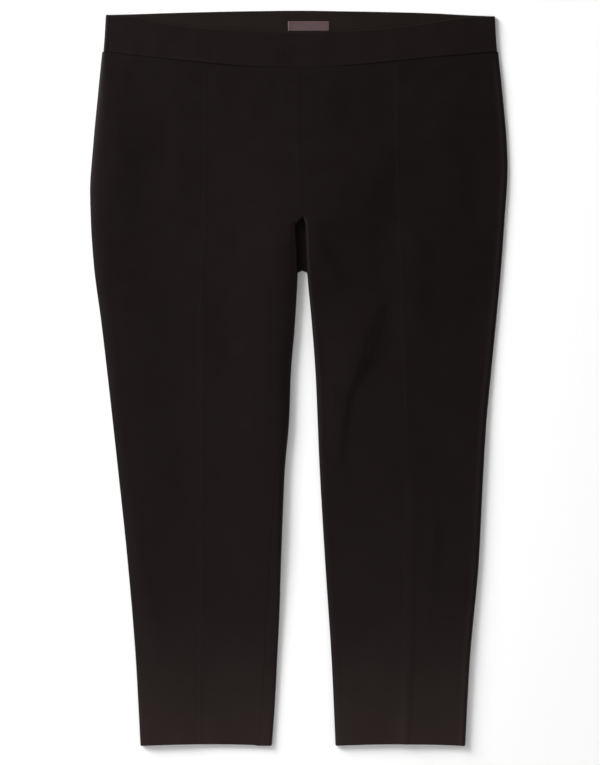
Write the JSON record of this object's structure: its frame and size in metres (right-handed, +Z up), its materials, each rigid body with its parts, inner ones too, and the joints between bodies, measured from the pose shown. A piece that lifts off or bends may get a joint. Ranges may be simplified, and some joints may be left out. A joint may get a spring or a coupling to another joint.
{
  "type": "capri pants",
  "caption": "Pull-on cropped trousers laid flat, front side up, with a wide elasticated waistband, a stitched crease down each leg and turned-up hems.",
  "frame": {"origin": "centre of the laid garment's outline, on the surface that it lies on", "axes": "+X towards the wearer's left leg, +Y from the hems to the waist, +Z up out of the front, away from the surface"},
  "size_m": [0.5086, 0.8956, 0.0123],
  "materials": {
    "leg_cloth": "matt black stretch twill with a faint warm sheen",
    "band_cloth": "the same cloth, folded over elastic",
    "label_cloth": "smooth mauve-grey satin, bare"
  },
  "bodies": {
    "root": {"front_right": "leg_cloth", "front_left": "leg_cloth", "back_right": "leg_cloth", "back_left": "leg_cloth", "waistband_front": "band_cloth", "waistband_back": "band_cloth", "label": "label_cloth"}
  },
  "joints": []
}
